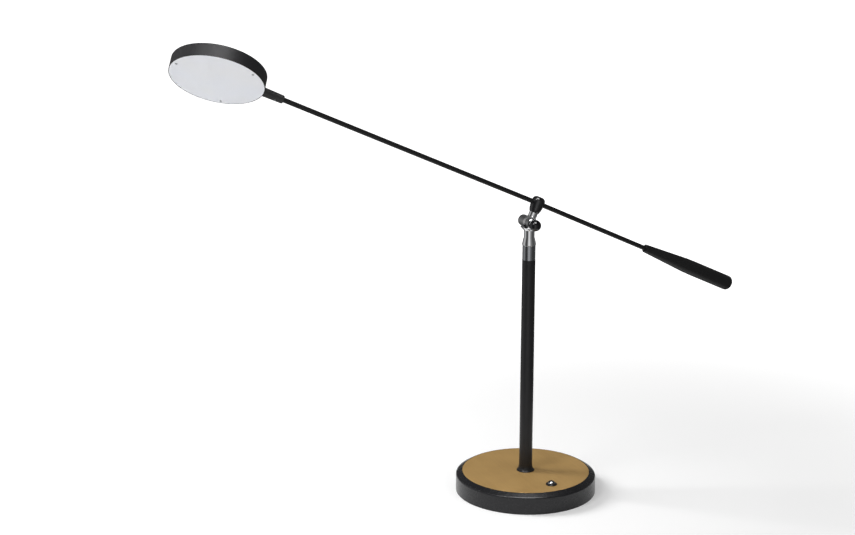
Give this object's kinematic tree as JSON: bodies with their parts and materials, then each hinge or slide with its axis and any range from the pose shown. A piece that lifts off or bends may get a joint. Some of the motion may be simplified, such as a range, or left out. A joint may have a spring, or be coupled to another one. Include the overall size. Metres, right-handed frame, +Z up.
{
  "type": "counterweight balance desk lamp",
  "caption": "Round-based desk lamp with a thin tilting balance arm on a swivelling post, a tapered counterweight at one end and a flat round light head at the other.",
  "frame": {"origin": "on the table, under the centre of the round base", "axes": "+Z up the post, +X from the post towards the counterweight with the arm in its drawn swivel position, -Y the side of the ball knob"},
  "size_m": [0.8407, 0.2048, 0.6763],
  "materials": {
    "black_enamel": "gloss",
    "black_satin": "satin",
    "brass_plate": "satin",
    "cast_iron": "matte",
    "plated_steel": "satin",
    "bright_chrome": "polished",
    "smoke_chrome": "satin",
    "foot_rubber": "matte",
    "driver_plastic": "matte",
    "circuit_board": "satin",
    "switch_black": "gloss",
    "switch_chrome": "polished",
    "contact_plastic": "matte",
    "spring_steel": "satin",
    "bush_brass": "satin",
    "fibre": "matte",
    "knob_black": "gloss",
    "lead_white": "matte",
    "opal": "satin",
    "reflector_white": "matte",
    "led_board_white": "matte",
    "led_phosphor": "satin"
  },
  "bodies": {
    "base": {"base_shell": "black_enamel", "top_plate": "brass_plate", "base_weight": "cast_iron", "bottom_plate": "plated_steel", "foot_pad": "foot_rubber", "base_screws": "plated_steel", "cord_grommet": "foot_rubber", "driver_case": "driver_plastic", "driver_board": "circuit_board", "switch_bezel": "switch_black", "switch_nut": "plated_steel", "switch_contact_block": "contact_plastic", "switch_spring": "spring_steel", "post_foot": "black_enamel", "post_tube": "black_enamel", "post_stud": "plated_steel", "post_plug": "plated_steel", "post_lock_washer": "plated_steel", "post_nut": "plated_steel", "ferrule": "smoke_chrome", "swivel_stop_pin": "plated_steel", "swivel_bush": "bush_brass", "post_lead": "lead_white"},
    "button": {"switch_button": "switch_chrome"},
    "swivel": {"swivel_bell": "bright_chrome", "swivel_nipple": "plated_steel", "swivel_washer": "spring_steel", "swivel_nut": "plated_steel", "drum_cap": "bright_chrome", "friction_washers": "fibre", "knob_washer": "bright_chrome"},
    "knob": {"ball_knob": "knob_black", "knob_screw": "plated_steel"},
    "arm": {"tilt_stem": "bright_chrome", "arm_knuckle": "black_enamel", "knuckle_set_screw": "plated_steel", "arm_rod": "black_enamel", "counterweight": "black_enamel", "counterweight_collar": "black_enamel", "counterweight_stud": "plated_steel", "arm_lead": "lead_white"},
    "head": {"head_sleeve": "black_satin", "sleeve_set_screw": "plated_steel", "sleeve_nut": "plated_steel", "head_shell": "black_satin", "led_board": "led_board_white", "led_chips": "led_phosphor", "reflector_ring": "reflector_white", "diffuser": "opal", "diffuser_screws": "plated_steel", "head_lead": "lead_white"}
  },
  "joints": [
    {"name": "arm_swivel", "type": "hinge", "parent": "base", "child": "swivel", "pos_m": [0, 0, 0.367], "axis": [0, 0, 1], "range_deg": [-165, 165]},
    {"name": "arm_tilt", "type": "hinge", "parent": "swivel", "child": "arm", "pos_m": [0, 0, 0.399], "axis": [0, 1, 0], "range_deg": [-59, 40]},
    {"name": "knob_turn", "type": "hinge", "parent": "swivel", "child": "knob", "pos_m": [0, 0, 0.399], "axis": [0, 1, 0], "range_deg": [-270, 0]},
    {"name": "head_roll", "type": "hinge", "parent": "arm", "child": "head", "pos_m": [-0.36895, 0, 0.59776], "axis": [0.9121, 0, -0.4099], "range_deg": [-60, 119]},
    {"name": "switch_press", "type": "slide", "parent": "base", "child": "button", "axis": [0, 0, -1], "range_m": [0, 0.0015], "stiffness_N_per_m": 800, "springref_m": -0.001, "deforming": ["switch_spring"]}
  ]
}
